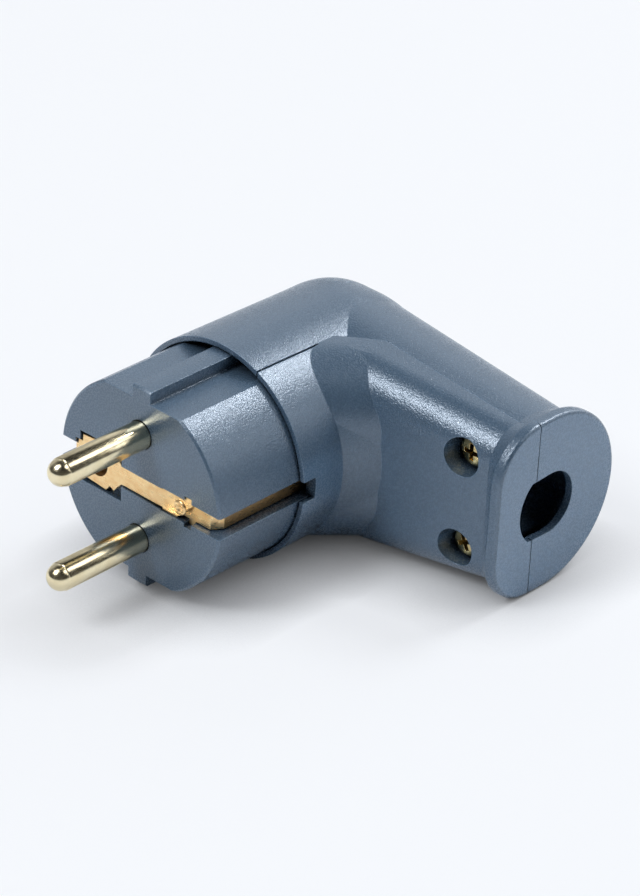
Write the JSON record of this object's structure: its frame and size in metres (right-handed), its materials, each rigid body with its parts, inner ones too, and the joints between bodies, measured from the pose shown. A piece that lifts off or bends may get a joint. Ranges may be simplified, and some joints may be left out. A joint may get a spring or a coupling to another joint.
{
  "type": "angled type F mains plug",
  "caption": "Right-angle rewireable mains plug with round brass pins, side earth strips, and a two-part elbow housing with a flanged cord entry.",
  "frame": {"origin": "centre of the engagement face, on the plug axis midway between the pins", "axes": "-Y the way the pins point, +X along the arm to the cord flange, +Z along the line of the pins"},
  "size_m": [0.066, 0.0812, 0.038],
  "materials": {
    "housing_plastic": "spark-eroded satin",
    "carrier_plastic": "spark-eroded satin",
    "inner_plastic": "moulded satin",
    "pin_brass": "polished",
    "earth_brass": "rolled sheet",
    "screw_brass": "bright turned",
    "terminal_brass": "turned",
    "inner_steel": "zinc-plated"
  },
  "bodies": {
    "root": {"inner_half_shell": "housing_plastic", "outer_half_shell": "housing_plastic", "contact_carrier": "carrier_plastic", "pin_retainer": "inner_plastic", "pin_retainer_screw": "inner_steel", "earth_strip_left": "earth_brass", "earth_strip_right": "earth_brass", "earth_rivet": "earth_brass", "earth_socket_sleeve": "earth_brass", "earth_terminal": "terminal_brass", "earth_terminal_screw": "inner_steel", "cord_clamp": "inner_plastic", "cord_clamp_screw_upper": "inner_steel", "cord_clamp_screw_lower": "inner_steel", "live_pin": "pin_brass", "neutral_pin": "pin_brass", "live_terminal_screw": "inner_steel", "neutral_terminal_screw": "inner_steel", "housing_screw_upper": "screw_brass", "housing_screw_lower": "screw_brass", "housing_insert_upper": "terminal_brass", "housing_insert_lower": "terminal_brass"}
  },
  "joints": []
}
